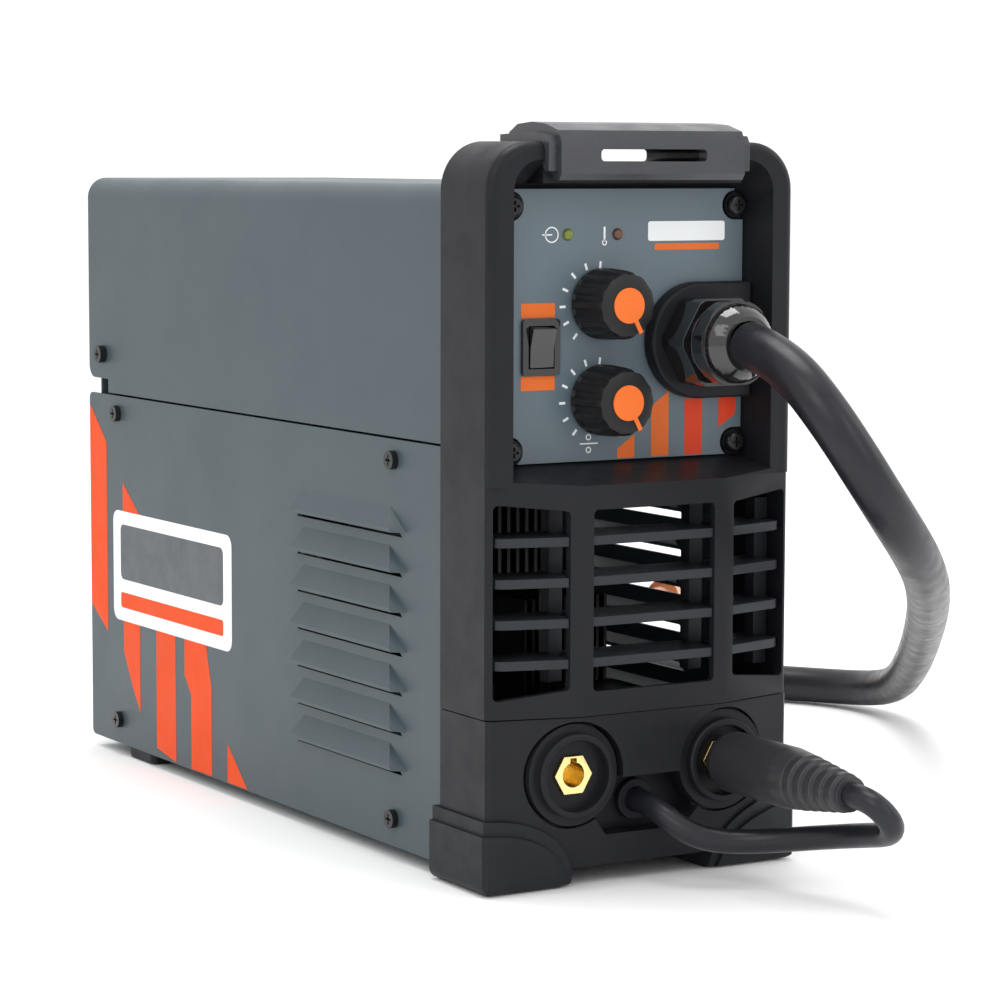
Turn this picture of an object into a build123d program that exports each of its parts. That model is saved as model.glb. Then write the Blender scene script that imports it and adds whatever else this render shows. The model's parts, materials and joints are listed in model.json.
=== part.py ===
from build123d import *
import math
import os

# Compact MIG welding machine with a flip-up lid, a polarity lead and a coiled torch.
# X is across the machine, +Z is up and the control face looks towards -Y.
# Every y below is measured from the casing's front end; place() moves the origin
# to the middle of the machine's base.

# ---------------------------------------------------------------- driving dimensions, mm
SHEET = 1.2  # sheet steel of the casing
CASE_HALF = 65.6  # half the casing's width
CASE_FRONT, CASE_REAR = -2.6, 325.6
CASE_BOTTOM, SEAM_Z, LID_TOP = 4.9, 164.4, 262.0
SEAM_GAP = 0.9
BEND = 9.0  # outer bend radius of the lid's long edges
HEM = 7.5  # width of the inward hems
INSIDE_HEMS = CASE_HALF - SHEET - HEM - 0.4  # how far out the parts the hems swing past may reach
PIVOT_Y, PIVOT_Z = 309.5, 182.1  # lid hinge

BEZEL_HALF = 67.6
BEZEL_REAR, RIM_FRONT = -3.9, -40.0
BEZEL_BOTTOM, BEZEL_TOP = 6.8, 277.8
BEZEL_CORNER = 18.0
BOOT_TOE = 4.2  # rounding under the corner boots
BREAK_Z = 65.6  # joint between the bezel and the socket panel
CREASE_X = 32.0  # where the middle facet meets the side facets
FACET_FRONT, FACET_SIDE = -47.5, -38.3
SHELF_SLOPE = 0.262
SHELF_FRONT_Z = 151.6
PANEL_FRONT, PANEL_BACK = -25.0, -23.0
PANEL_HALF, PANEL_LOW, PANEL_HIGH = 53.9, 158.3, 260.3
SLAT_LOW, SLAT_PITCH, SLAT_COUNT, SLAT_THICK = 85.4, 15.2, 4, 3.5

KNOB_X, KNOB_Z = -10.8, (217.4, 181.3)
KNOB_R, KNOB_FACE, KNOB_BACK = 13.4, -45.0, -26.2
SHAFT_R, RUNNING = 3.0, 0.06
SWITCH_X, SWITCH_Z = -37.3, 201.7
LED_X, LED_Z, LED_R = (-25.2, -3.2), 243.3, 2.1
SCREW_X, SCREW_Z = 50.0, (163.0, 254.0)
POD_X, POD_Z, POD_R, POD_FRONT = 31.2, 202.8, 22.2, -31.0
SOCKET_X, SOCKET_Z = 33.3, 43.3
BORE_R = 4.6
GROMMET_Z, PLUG_Z = 29.5, 43.5

DECK_Z = 148.0
SPOOL_Y, SPOOL_Z, SPOOL_R = 235.0, 203.0, 50.0
WIRE_X, WIRE_Z = 31.2, 202.8
DRIVE_Y, DRIVE_R = 120.0, 15.0
DRIVE_Z = WIRE_Z - 0.4 - DRIVE_R
PRESS_R = 11.0
PRESS_Z = WIRE_Z + 0.4 + PRESS_R
ARM_Y, ARM_Z = 146.0, 220.0
FAN_Z, FAN_Y = 77.0, (289.8, 314.8)

GLAND_END = -62.5
LEAD_R, TORCH_CABLE_R = 4.6, 8.75
PLUG_END = -126.5
COIL_X, COIL_Y, COIL_START_R = 150.0, 478.0, 112.0
COIL_START_DEG, COIL_SWEEP_DEG = -20.0, 500.0
TORCH_Y = COIL_Y - 83.5
TORCH_Z = 2 * TORCH_CABLE_R + 16.1
HANDLE_REAR_X, HANDLE_FRONT_X = COIL_X - 20.0, COIL_X + 105.0
SLEEVE, TRIGGER_TRAVEL = 24.0, 3.0

GLAND_REAR = 334.0  # mains gland, the rearmost point of the machine itself
Y_MID = (GLAND_END + GLAND_REAR) / 2

# Centre line of the lead from the grommet to the plug, and of the torch cable up to its coil.
LEAD_ROUTE = [
    (0, -33, GROMMET_Z), (0, -47, GROMMET_Z), (3, -58, 22.5), (12, -65.5, 17.5), (26, -74, 17),
    (40, -92, 20.5), (45.5, -112, 24.5), (45, -126, 27.3), (44.3, -135.9, 29.6), (41, -141.5, 33.8),
    (36.4, -141.5, 39.6), (SOCKET_X, -135.9, PLUG_Z), (SOCKET_X, PLUG_END, PLUG_Z),
]
CABLE_ROUTE = [
    (POD_X, GLAND_END, POD_Z), (POD_X, -85, 198.5), (33.5, -104, 184), (43, -115, 163),
    (61, -113, 141), (87, -95, 123), (118, -62, 107), (172, 6, 85), (227, 80, 59),
    (274, 148, 33), (302, 196, 14), (304, 234, 9), (284, 266, 8.75), (254, 300, 8.75),
    (238, 342, 8.75), (240, 388, 8.75),
]


# ---------------------------------------------------------------- helpers
def box(x0, x1, y0, y1, z0, z1):
    middle = Pos((x0 + x1) / 2, (y0 + y1) / 2, (z0 + z1) / 2)
    return middle * Box(abs(x1 - x0), abs(y1 - y0), abs(z1 - z0))


def rod_x(r, x0, x1, y, z):
    return Pos((x0 + x1) / 2, y, z) * Rot(0, 90, 0) * Cylinder(r, abs(x1 - x0))


def rod_y(r, y0, y1, x, z):
    return Pos(x, (y0 + y1) / 2, z) * Rot(90, 0, 0) * Cylinder(r, abs(y1 - y0))


def rod_z(r, z0, z1, x, y):
    return Pos(x, y, (z0 + z1) / 2) * Cylinder(r, abs(z1 - z0))


def prism(plane, points, depth):
    return extrude(plane * make_face(Polyline(*points, close=True)), depth)


def prism_x(points, x0, x1):
    return prism(Plane.YZ.offset(x0), points, x1 - x0)


def prism_y(points, y0, y1):
    return prism(Plane.XZ.offset(-y1), points, y1 - y0)


def prism_z(points, z0, z1):
    return prism(Plane.XY.offset(z0), points, z1 - z0)


def hex_y(flats, y0, y1, x, z):
    face = RegularPolygon(flats / 2, 6, major_radius=False)
    return extrude(Plane.XZ.offset(-y1) * Pos(x, z) * face, y1 - y0)


def mirror_x(shape):
    return mirror(shape, about=Plane.YZ)


def both_sides(shape):
    return shape + mirror_x(shape)


def together(solids):
    return Compound(children=[s for item in solids for s in item.solids()])


def cylinder_screw(axis_x, y, z, side, head_r, head_h, shank_r, shank):
    head = rod_x(head_r, side * axis_x, side * (axis_x + head_h), y, z)
    recess = box(side * (axis_x + head_h - 1), side * (axis_x + head_h + 1), y - 2, y + 2, z - 0.4, z + 0.4)
    cross = box(side * (axis_x + head_h - 1), side * (axis_x + head_h + 1), y - 0.4, y + 0.4, z - 2, z + 2)
    return head - recess - cross + rod_x(shank_r, side * (axis_x - shank), side * axis_x, y, z)


def tube(points, radius):
    """A round cord along straight runs joined by the largest arcs that the runs allow."""
    vectors = [Vector(*p) for p in points]
    runs = [(b - a).length for a, b in zip(vectors, vectors[1:])]
    radii = []
    for i in range(1, len(points) - 1):
        turn = (vectors[i] - vectors[i - 1]).get_angle(vectors[i + 1] - vectors[i])
        radii.append(0.45 * min(runs[i - 1], runs[i]) / math.tan(math.radians(turn) / 2))
    line = FilletPolyline(*points, radius=radii)
    section = Plane(origin=line @ 0, z_dir=line % 0) * Circle(radius)
    solid = sweep(section, path=line)
    print("radii in diameters", [round(r / radius / 2, 1) for r in radii])
    print("length", round(line.length), "volume ratio", solid.volume / (math.pi * radius**2 * line.length))
    return solid


# ---------------------------------------------------------------- casing
def case_corner(y, z, r, toward_y, toward_z):
    """What is cut off to round one corner of a side sheet."""
    square = box(-90, 90, y, y + toward_y * r, z, z + toward_z * r)
    return square - rod_x(r, -91, 91, y + toward_y * r, z + toward_z * r)


def lid():
    tall = 2 * (LID_TOP - SEAM_Z) + 40
    outer = Plane.XZ.offset(-CASE_REAR) * Pos(0, LID_TOP - tall / 2)
    length = CASE_REAR - CASE_FRONT
    skin = extrude(outer * RectangleRounded(2 * CASE_HALF, tall, BEND), length)
    inner_size = (2 * (CASE_HALF - SHEET), tall - 2 * SHEET, BEND - SHEET)
    skin -= extrude(outer * RectangleRounded(*inner_size), length)
    bottom = SEAM_Z + 0.5
    step_y, raised = 304.7, PIVOT_Z - 11.1
    skin -= box(-90, 90, CASE_FRONT - 1, CASE_REAR + 1, 0, bottom)
    skin -= box(-90, 90, step_y, CASE_REAR + 1, 0, raised)
    skin -= case_corner(CASE_REAR, raised, 6, -1, 1)
    skin -= case_corner(CASE_FRONT, bottom, 2.5, 1, 1)
    skin -= rod_x(2.5 + 0.02, -90, 90, PIVOT_Y, PIVOT_Z)
    hem = box(CASE_HALF - SHEET - HEM, CASE_HALF - SHEET, 27.5, 296, bottom, bottom + SHEET)
    return skin + both_sides(hem)


def pivot_screws():
    screws = []
    for side in (-1, 1):
        head_x = CASE_HALF + 0.3
        screw = cylinder_screw(head_x, PIVOT_Y, PIVOT_Z, side, 4.0, 3.0, 2.45, 7.0)
        screws.append(screw)
    return together(screws)


def louvre(low_z, grow):
    """A pressed hood on the left side sheet; grow is minus the wall for its inside."""
    y0, y1, y2, y3 = 26.1 - grow, 39.2 - grow, 111.5 + grow, 118.8 + grow
    top = low_z + 9.6 + grow
    low = low_z - (2.0 if grow < 0 else 0)
    root = [(y0, low), (y3, low), (y2, top), (y1, top)]
    lip = [(y0 + 4.5, low), (y3 - 2, low), (y3 - 2.6, low_z + 1.4), (y0 + 5.6, low_z + 1.4)]
    start = CASE_HALF - (SHEET + 1 if grow < 0 else 0.01)
    end = CASE_HALF + 4.2 + grow
    hood = loft([Plane.YZ.offset(-start) * make_face(Polyline(*root, close=True)),
                 Plane.YZ.offset(-end) * make_face(Polyline(*lip, close=True))], ruled=True)
    return hood


def lower_panel_left():
    top = SEAM_Z - 0.4
    sheet = box(-CASE_HALF, -CASE_HALF + SHEET, CASE_FRONT, CASE_REAR, CASE_BOTTOM, top)
    for y, z, sy, sz in ((CASE_FRONT, top, 1, -1), (CASE_REAR, top, -1, -1), (CASE_REAR, CASE_BOTTOM, -1, 1)):
        sheet -= case_corner(y, z, 3.0, sy, sz)
    sheet += box(-CASE_HALF + SHEET, -CASE_HALF + SHEET + HEM, 18.5, 312, top - SHEET, top)
    for i in range(7):
        low = 128.6 - 15.45 * i
        sheet += louvre(low, 0)
    for i in range(7):
        low = 128.6 - 15.45 * i
        sheet -= louvre(low, -1.1)
    for y, z in side_screw_places():
        sheet -= rod_x(2.0, -90, -50, y, z)
    return sheet


def side_screw_places():
    return [(y, z) for y in (35.8, 294.4) for z in (15.9, 156.0)]


def side_screws():
    screws = []
    for side in (-1, 1):
        for y, z in side_screw_places():
            screws.append(cylinder_screw(CASE_HALF, y, z, side, 3.7, 2.6, 1.95, 6.0))
    return together(screws)


def base_pan():
    half = CASE_HALF - SHEET - 0.3
    pan = box(-half, half, CASE_FRONT + 1, CASE_REAR - 2, CASE_BOTTOM, CASE_BOTTOM + SHEET)
    wall = box(half - SHEET, half, 6, 314.8, CASE_BOTTOM, 22)
    pan += both_sides(wall)
    for y, z in side_screw_places():
        pan -= rod_x(2.0, -90, 90, y, z)
    for i in range(5):
        pan -= box(-22, 22, 120 + 14 * i, 124 + 14 * i, 0, 10)
    return pan


def rear_feet():
    foot = box(50.5, 64.5, 262, 288, 0, CASE_BOTTOM)
    foot = fillet(foot.edges().filter_by(Axis.Z), 3)
    return together([foot, mirror_x(foot)])


def rear_panel():
    half = CASE_HALF - SHEET - 0.3
    face = (314.8, 316.0)
    low = CASE_BOTTOM + SHEET
    panel = box(-half, half, *face, low, 258)
    panel = fillet(panel.edges().filter_by(Axis.Y).group_by(Axis.Z)[-1], 8)
    ear = box(half - SHEET, half, 294, face[0], 171.8, 200)
    panel += both_sides(ear)
    panel -= rod_x(2.47, -90, 90, PIVOT_Y, PIVOT_Z)
    for i in range(9):
        z = FAN_Z + 8 * (i - 4)
        half_slot = math.sqrt(38**2 - (z - FAN_Z) ** 2)
        panel -= box(-half_slot, half_slot, 310, 320, z - 2.4, z + 2.4)
    panel -= box(30 - 6.9, 30 + 6.9, 310, 320, 134 - 9.7, 134 + 9.7)
    panel -= rod_y(6.0, 310, 320, -35, 132)
    return panel


def mains_gland():
    gland = hex_y(19, 316, 321, -35, 132) + rod_y(8.6, 321, GLAND_REAR, -35, 132)
    gland += rod_y(6.0, 308, 316, -35, 132) + hex_y(18, 309, 314.8, -35, 132)
    return gland - rod_y(4.0, 300, 340, -35, 132)


def deck_plate():
    return box(-62.2, 62.2, 3, 312, DECK_Z, DECK_Z + 1.5)


# ---------------------------------------------------------------- front mouldings
def facet_outline(front, side, half, rear):
    return [(-half, rear), (-half, side + 1.8), (-half + 1.7, side), (-CREASE_X, front),
            (CREASE_X, front), (half - 1.7, side), (half, side + 1.8), (half, rear)]


def above_shelf(drop):
    """Everything above the sloping shelf, lowered by drop."""
    low = SHELF_FRONT_Z - drop
    slope = [(-60, low - 12.5 * SHELF_SLOPE), (10, low + 57.5 * SHELF_SLOPE), (10, 320), (-60, 320)]
    return prism_x(slope, -90, 90)


def rim():
    """The upper frame round the control panel, with its round outer corners."""
    low = SHELF_FRONT_Z
    height = BEZEL_TOP - low
    plate = Pos(0, low + height / 2) * Rectangle(2 * BEZEL_HALF, height)
    plate = fillet(plate.vertices().group_by(Axis.Y)[-1], BEZEL_CORNER)
    body = extrude(Plane.XZ.offset(-BEZEL_REAR) * plate, BEZEL_REAR - RIM_FRONT)
    front = body.edges().filter_by_position(Axis.Y, RIM_FRONT - 0.01, RIM_FRONT + 0.01)
    return fillet(front.filter_by(lambda e: e.center().Z > low + 1), 4.0)


def recess():
    """The tapered hollow in front of the control panel."""
    def outline(half, low, high, r):
        plate = Pos(0, (low + high) / 2) * Rectangle(2 * half, high - low)
        return fillet(plate.vertices().group_by(Axis.Y)[-1], r)

    mouth_low = SHELF_FRONT_Z + (RIM_FRONT - 1 - FACET_FRONT) * SHELF_SLOPE
    back_low = SHELF_FRONT_Z + (PANEL_BACK - FACET_FRONT) * SHELF_SLOPE
    return loft([Plane.XZ.offset(-RIM_FRONT + 1) * outline(57.7, mouth_low, 271.7, 12),
                 Plane.XZ.offset(-PANEL_BACK) * outline(54.2, back_low, 260.7, 7)], ruled=True)


def strap_slot():
    slot = box(-23.4, 23.4, -60, 10, 270.5, 275.0)
    return fillet(slot.edges().filter_by(Axis.Y), 1.6)


def grille_openings():
    middle = box(-27, 27, -60, -20, 74.5, 142.5)
    middle = fillet(middle.edges().filter_by(Axis.Y), 2)
    side = prism_y([(36.4, 75.7), (65.2, 72.2), (65.2, 145.3), (36.4, 142.3)], -60, -20)
    side = fillet(side.edges().filter_by(Axis.Y), 2)
    return [middle, side, mirror_x(side)]


def front_bezel():
    lower = prism_z(facet_outline(FACET_FRONT, FACET_SIDE, BEZEL_HALF, BEZEL_REAR), BREAK_Z, 165)
    lower -= above_shelf(0)
    hollow = prism_z(facet_outline(FACET_FRONT + 3, FACET_SIDE + 3, BEZEL_HALF - 2.4, 0), 60, 165)
    lower -= hollow - above_shelf(3)
    upper = rim() - recess()
    inside = box(-64.6, 64.6, -20, 0, SHELF_FRONT_Z - 1, 261.5)
    upper -= inside
    bar = box(-44, 44, -38, -20, 262.5, 272)
    body = lower + upper + bar
    for opening in grille_openings():
        body -= opening
    body -= strap_slot()
    for hole in panel_holes():
        body -= hole
    boss = rod_y(4.6, PANEL_FRONT - 0.4, PANEL_BACK, SCREW_X, SCREW_Z[0])
    boss += rod_y(4.6, PANEL_FRONT - 0.4, PANEL_BACK, SCREW_X, SCREW_Z[1])
    body += both_sides(boss)
    for x in (-SCREW_X, SCREW_X):
        for z in SCREW_Z:
            body -= rod_y(1.5, -40, -19, x, z)
    return body


def grille_slats():
    """Deep louvre shelves between the mullions, tied together by ribs at the back."""
    right_half = [(26.8, -46.6), (26.8, -44.3), (29, -44.3), (29, -24)]
    middle = right_half + [(-x, y) for x, y in reversed(right_half)]
    side = [(34.2, -43.6), (36.6, -42.9), (36.6, -45.6), (60.5, -39.2), (63.4, -37.0),
            (64.2, -34), (64.2, -18), (34.2, -24)]
    pieces = []
    for i in range(SLAT_COUNT):
        low = SLAT_LOW + SLAT_PITCH * i - SLAT_THICK / 2
        centre = prism_z(middle, low, low + SLAT_THICK)
        wing = prism_z(side, low, low + SLAT_THICK)
        pieces += [centre, wing, mirror_x(wing)]
    for x in (-62, -31.6, 31.6, 62):
        pieces.append(box(x - 3.0, x + 3.0, -28, -22, 76, 141))
    whole = pieces[0]
    for piece in pieces[1:]:
        whole += piece
    return whole


def socket_panel():
    outline = facet_outline(FACET_FRONT + 0.8, FACET_SIDE - 0.7, BEZEL_HALF, BEZEL_REAR)
    body = prism_z(outline, BEZEL_BOTTOM, BREAK_Z - 0.4)
    body -= chin(0)
    body -= box(-64.6, 64.6, -29, 0, BEZEL_BOTTOM + 3, BREAK_Z + 1)
    for x in (-SOCKET_X, SOCKET_X):
        body -= rod_y(20.4, -60, -39.8, x, SOCKET_Z)
        body -= rod_y(16.2, -60, -20, x, SOCKET_Z)
    pocket = [(-13.9, 41), (13.9, 41), (23, 25.5), (17.5, 18.7), (-17.5, 18.7), (-23, 25.5)]
    body -= prism_y(pocket, -60, -32.5)
    body -= rod_y(7.0, -60, -20, 0, GROMMET_Z)
    return body


def chin(grow, toe=0):
    """What is cut away in front of the sloping chin; grow moves it forwards, toe rounds its foot."""
    front = FACET_FRONT + 0.8 - grow
    lean = math.atan2(8.5, 42)
    centre = front + 8.5 + toe * math.tan((math.pi / 2 - lean) / 2)
    turns = [lean + (math.pi / 2 - lean) * k / 6 for k in range(7 if toe else 1)]
    foot = [(centre - toe * math.cos(t), toe - toe * math.sin(t)) for t in turns]
    return prism_x([(-70, 42), (front, 42), *foot, (-70, 0)], -90, 90)


def front_boot_right():
    """A corner boot in two steps that wraps the bezel's lower corner."""
    def layer(proud, a, b):
        outline = facet_outline(FACET_FRONT + 0.8 - proud, FACET_SIDE - 0.7 - proud, BEZEL_HALF + proud, -0.4)
        side = BEZEL_HALF + proud
        turns = [math.radians(t) for t in range(0, 91, 9)]
        arch = [(66 - a * math.cos(t), b * math.sin(t)) for t in turns]
        toe = [(side - BOOT_TOE * (1 - math.cos(t)), BOOT_TOE * (1 - math.sin(t))) for t in turns]
        return (prism_z(outline, 0, 30) & prism_y([*arch, (side, b), *toe], -70, 5)) - chin(proud, BOOT_TOE)

    boot = layer(2.7, 31, 22.6) + layer(1.3, 35, 27.9)
    inside = facet_outline(FACET_FRONT + 0.8, FACET_SIDE - 0.7, BEZEL_HALF, BEZEL_REAR)
    boot -= prism_z(inside, BEZEL_BOTTOM, 40) - chin(0)
    boot -= box(-CASE_HALF, CASE_HALF, BEZEL_REAR, 10, CASE_BOTTOM, 40)
    return boot - box(-80, 20, -70, 10, -1, 40)


def strap_bracket(bezel):
    """A saddle over the bezel's top bar, slotted for a strap."""
    body = [(-40, 264.0), (-43.5, 263.6), (-45.2, 266), (-45.2, 277.5), (-43, 281.8), (-34, 284.2),
            (-24, 285), (-14, 284.2), (-8, 281.2), (-8, 277), (-36, 272), (-38, 266)]
    wing = [(-40, 266.9), (-42.6, 266.9), (-42.8, 277), (-41, 280), (-30, 281.2), (-8, 280.4), (-8, 277),
            (-36, 272)]
    saddle = prism_x(body, -40.6, 40.6) + prism_x(wing, -44.5, 44.5)
    saddle -= strap_slot()
    return saddle - bezel


# ---------------------------------------------------------------- control panel and its parts
def panel_holes():
    holes = [rod_y(3.8, -28, -19, KNOB_X, z) for z in KNOB_Z]
    holes += [rod_y(LED_R + 0.1, -28, -19, x, LED_Z) for x in LED_X]
    holes.append(box(SWITCH_X - 6.9, SWITCH_X + 6.9, -28, -19, SWITCH_Z - 9.7, SWITCH_Z + 9.7))
    holes.append(rod_y(12.1, -28, -19, POD_X, POD_Z))
    return holes


def control_panel():
    plate = box(-PANEL_HALF, PANEL_HALF, PANEL_FRONT, PANEL_BACK, PANEL_LOW, PANEL_HIGH)
    plate = fillet(plate.edges().filter_by(Axis.Y), 4)
    for hole in panel_holes():
        plate -= hole
    for x in (-SCREW_X, SCREW_X):
        for z in SCREW_Z:
            plate -= rod_y(5.6, -28, -20, x, z)
            plate -= box(x, math.copysign(60, x), -28, -20, z - 5.6, z + 5.6)
            edge = PANEL_HIGH + 1 if z > 200 else PANEL_LOW - 1
            plate -= box(x, math.copysign(60, x), -28, -20, z, edge)
    return plate


def panel_screws():
    screws = []
    for x in (-SCREW_X, SCREW_X):
        for z in SCREW_Z:
            head = rod_y(4.0, -28.2, PANEL_FRONT - 0.4, x, z)
            head = fillet(head.edges().sort_by(Axis.Y)[0], 1.4)
            head -= box(x - 2, x + 2, -29, -27.2, z - 0.45, z + 0.45)
            head -= box(x - 0.45, x + 0.45, -29, -27.2, z - 2, z + 2)
            screws.append(head + rod_y(1.45, PANEL_FRONT - 0.4, -19.5, x, z))
    return together(screws)


def led(x):
    dome = rod_y(LED_R, -26.4, -16, x, LED_Z)
    return fillet(dome.edges().sort_by(Axis.Y)[0], 1.2)


def potentiometers():
    pots = []
    for z in KNOB_Z:
        pot = rod_y(8.0, -19.8, -9, KNOB_X, z) + rod_y(3.7, -25.6, -19.8, KNOB_X, z)
        pots.append(pot + rod_y(SHAFT_R, -39, -25.6, KNOB_X, z))
    return together(pots)


def knob(z):
    body = rod_y(KNOB_R, KNOB_FACE, KNOB_BACK, KNOB_X, z)
    body = fillet(body.edges().sort_by(Axis.Y)[0], 1.6)
    for i in range(14):
        a = 2 * math.pi * i / 14
        body -= rod_y(1.5, KNOB_FACE - 1, KNOB_BACK - 3.5, KNOB_X + 14 * math.cos(a), z + 14 * math.sin(a))
    return body - rod_y(SHAFT_R + RUNNING, -39.5, KNOB_BACK + 1, KNOB_X, z)


def knob_cap(z):
    """The coloured disc and its pointer line, five o'clock on the face."""
    disc = rod_y(6.6, KNOB_FACE - 0.5, KNOB_FACE, KNOB_X, z)
    line = Pos(KNOB_X, KNOB_FACE - 0.2, z) * Rot(0, 62, 0) * Pos(8.6, 0, 0) * Box(6, 0.4, 1.7)
    return disc + line


def switch_housing():
    """Rocker switch body facing -Y, centred on the origin in x and z, flange against y = 0."""
    flange = box(-8.1, 8.1, -1.6, 0, -10.5, 10.5)
    flange = fillet(flange.edges().filter_by(Axis.Y), 1.2)
    body = flange + box(-6.8, 6.8, 0, 15, -9.6, 9.6)
    body -= box(-5.6, 5.6, -3, 9.6, -7.95, 7.95)
    for x in (-3, 3):
        body += box(x - 2.2, x + 2.2, 15, 22, -0.4, 0.4)
    return body


def switch_rocker():
    """The rocker of switch_housing: it turns on an X axis 1.5 mm in front of the panel."""
    paddle = rod_x(7.7, -5.3, 5.3, -1.5, 0)
    ahead = [(-12, 9), (-5.2, 9), (-2.3, 0), (-1.9, -9), (-12, -9)]
    return paddle - prism_x(ahead, -6, 6)


# ---------------------------------------------------------------- torch connection and sockets
def torch_pod():
    outline = rod_y(POD_R, POD_FRONT, PANEL_FRONT, POD_X, POD_Z)
    outline += box(POD_X, 54, POD_FRONT, PANEL_FRONT, POD_Z - POD_R, POD_Z + POD_R)
    front = outline.edges().filter_by_position(Axis.Y, POD_FRONT - 0.01, POD_FRONT + 0.01)
    outline = fillet(front.filter_by(lambda e: e.center().X < 53), 1.5)
    return outline - rod_y(12.1, -40, -20, POD_X, POD_Z)


def gland_body():
    body = hex_y(33, -45.5, POD_FRONT, POD_X, POD_Z)
    body = body & rod_y(18.2, -45.5, POD_FRONT, POD_X, POD_Z)
    body += rod_y(12.0, POD_FRONT, -10, POD_X, POD_Z) + rod_y(14.4, -49, -45.5, POD_X, POD_Z)
    return body - rod_y(TORCH_CABLE_R, -70, -9, POD_X, POD_Z)


def gland_nut():
    nut = hex_y(31, -55, -49, POD_X, POD_Z) & rod_y(16.3, -56, -49, POD_X, POD_Z)
    profile = [(0, -49), (15.4, -49), (15.4, -54), (14.6, -57.5), (12.6, -60.5), (10.4, GLAND_END),
               (0, GLAND_END)]
    dome = revolve(Pos(POD_X, 0, POD_Z) * make_face(Polyline(*[(r, y, 0) for r, y in profile], close=True)),
                   axis=Axis((POD_X, 0, POD_Z), (0, 1, 0)))
    return nut + dome - rod_y(TORCH_CABLE_R, -70, -48, POD_X, POD_Z)


def socket_rings():
    rings = []
    for x in (-SOCKET_X, SOCKET_X):
        ring = rod_y(19.3, -44, -39.8, x, SOCKET_Z) + rod_y(16.0, -47.5, -24, x, SOCKET_Z)
        ring = fillet(ring.edges().sort_by(Axis.Y)[0], 1.0)
        ring -= rod_y(13.6, -50, -42.6, x, SOCKET_Z)
        rings.append(ring - hex_y(14.4, -50, -20, x, SOCKET_Z))
    return together(rings)


def socket_contacts():
    contacts = []
    for x in (-SOCKET_X, SOCKET_X):
        stud = hex_y(14.3, -44.3, -20, x, SOCKET_Z) + rod_y(4, -20, -8, x, SOCKET_Z)
        stud -= rod_y(BORE_R, -45, -24, x, SOCKET_Z)
        contacts.append(stud - box(x - 1.3, x + 1.3, -45, -36, SOCKET_Z, SOCKET_Z + BORE_R + 1.6))
    return together(contacts)


def grommet():
    sleeve = rod_y(6.95, -33, -26, 0, GROMMET_Z) + rod_y(7.85, -35.6, -32.5, 0, GROMMET_Z)
    return sleeve - rod_y(LEAD_R, -40, -20, 0, GROMMET_Z)


def plug_body():
    """Sleeve of the lead's plug, tapering in ribs towards the cable."""
    z = PLUG_Z
    profile = [(0, -48.0), (9.6, -48.0), (10.6, -51), (11.6, -53), (11.6, -90), (10.8, -97)]
    rib = 10.4
    for i in range(5):
        y = -98.5 - 5.4 * i
        profile += [(rib, y), (rib, y - 3.2), (rib - 1.3, y - 3.6), (rib - 1.3, y - 5.0)]
        rib -= 0.75
    profile += [(6.7, PLUG_END), (0, PLUG_END)]
    face = make_face(Polyline(*[(r, y, 0) for r, y in profile], close=True))
    return revolve(Pos(SOCKET_X, 0, z) * face, axis=Axis((SOCKET_X, 0, z), (0, 1, 0)))


def plug_pin():
    pin = rod_y(BORE_R - 0.1, -47.9, -26, SOCKET_X, SOCKET_Z)
    return pin + box(SOCKET_X - 1.1, SOCKET_X + 1.1, -41, -37.5, SOCKET_Z, SOCKET_Z + BORE_R + 1.2)


# ---------------------------------------------------------------- wire drive under the lid
def partition():
    plate = box(1.0, 2.2, 70, 300, DECK_Z + 1.5, 250)
    plate += box(2.2, 12, 70, 300, DECK_Z + 1.5, DECK_Z + 2.7)
    plate -= rod_x(6.5, -5, 5, DRIVE_Y, DRIVE_Z)
    return plate


def spool_spindle():
    return rod_x(8.0, 2.2, 53, SPOOL_Y, SPOOL_Z) + rod_x(18, 2.2, 7.8, SPOOL_Y, SPOOL_Z) + \
        rod_x(13, 51.4, INSIDE_HEMS, SPOOL_Y, SPOOL_Z)


def wire_spool():
    spool = rod_x(SPOOL_R, 8.3, 10.8, SPOOL_Y, SPOOL_Z) + rod_x(SPOOL_R, 48.2, 50.7, SPOOL_Y, SPOOL_Z)
    spool += rod_x(23, 10.8, 48.2, SPOOL_Y, SPOOL_Z)
    spool -= rod_x(17, 13.5, 45.5, SPOOL_Y, SPOOL_Z)
    for i in range(6):
        a = math.radians(60 * i + 30)
        spool -= rod_x(6, 5, 55, SPOOL_Y + 36 * math.cos(a), SPOOL_Z + 36 * math.sin(a)) & \
            (box(5, 10.9, 150, 300, 100, 300) + box(48.1, 55, 150, 300, 100, 300))
    return spool - rod_x(8.0 + RUNNING, 5, 55, SPOOL_Y, SPOOL_Z)


def wire_winding():
    return rod_x(44, 10.9, 48.1, SPOOL_Y, SPOOL_Z) - rod_x(23, 8, 52, SPOOL_Y, SPOOL_Z)


def feed_bracket():
    block = box(2.2, 24, 96, 152, 165, 226) - rod_x(4 + RUNNING, 0, 30, DRIVE_Y, DRIVE_Z)
    pivot = rod_x(3.0, 24, 44.5, ARM_Y, ARM_Z)
    return together([block, pivot])


def wire_guides():
    """The inlet and outlet guides on the feed bracket, and the liner on to the torch."""
    bore = rod_y(1.6, -10, 160, WIRE_X, WIRE_Z)
    inlet = box(24, 38, 145, 152, 195, 211) - bore
    outlet = box(24, 38, 88, 100, 195, 211) - bore
    liner = rod_y(4.0, -9, 88, WIRE_X, WIRE_Z) - bore
    return together([inlet, outlet, liner])


def feed_motor():
    gearbox = box(-26, 1.0, 98, 144, 163, 213)
    motor = rod_x(18, -INSIDE_HEMS, -26, 121, 188)
    return gearbox + motor - rod_x(4 + RUNNING, -20, 5, DRIVE_Y, DRIVE_Z)


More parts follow.
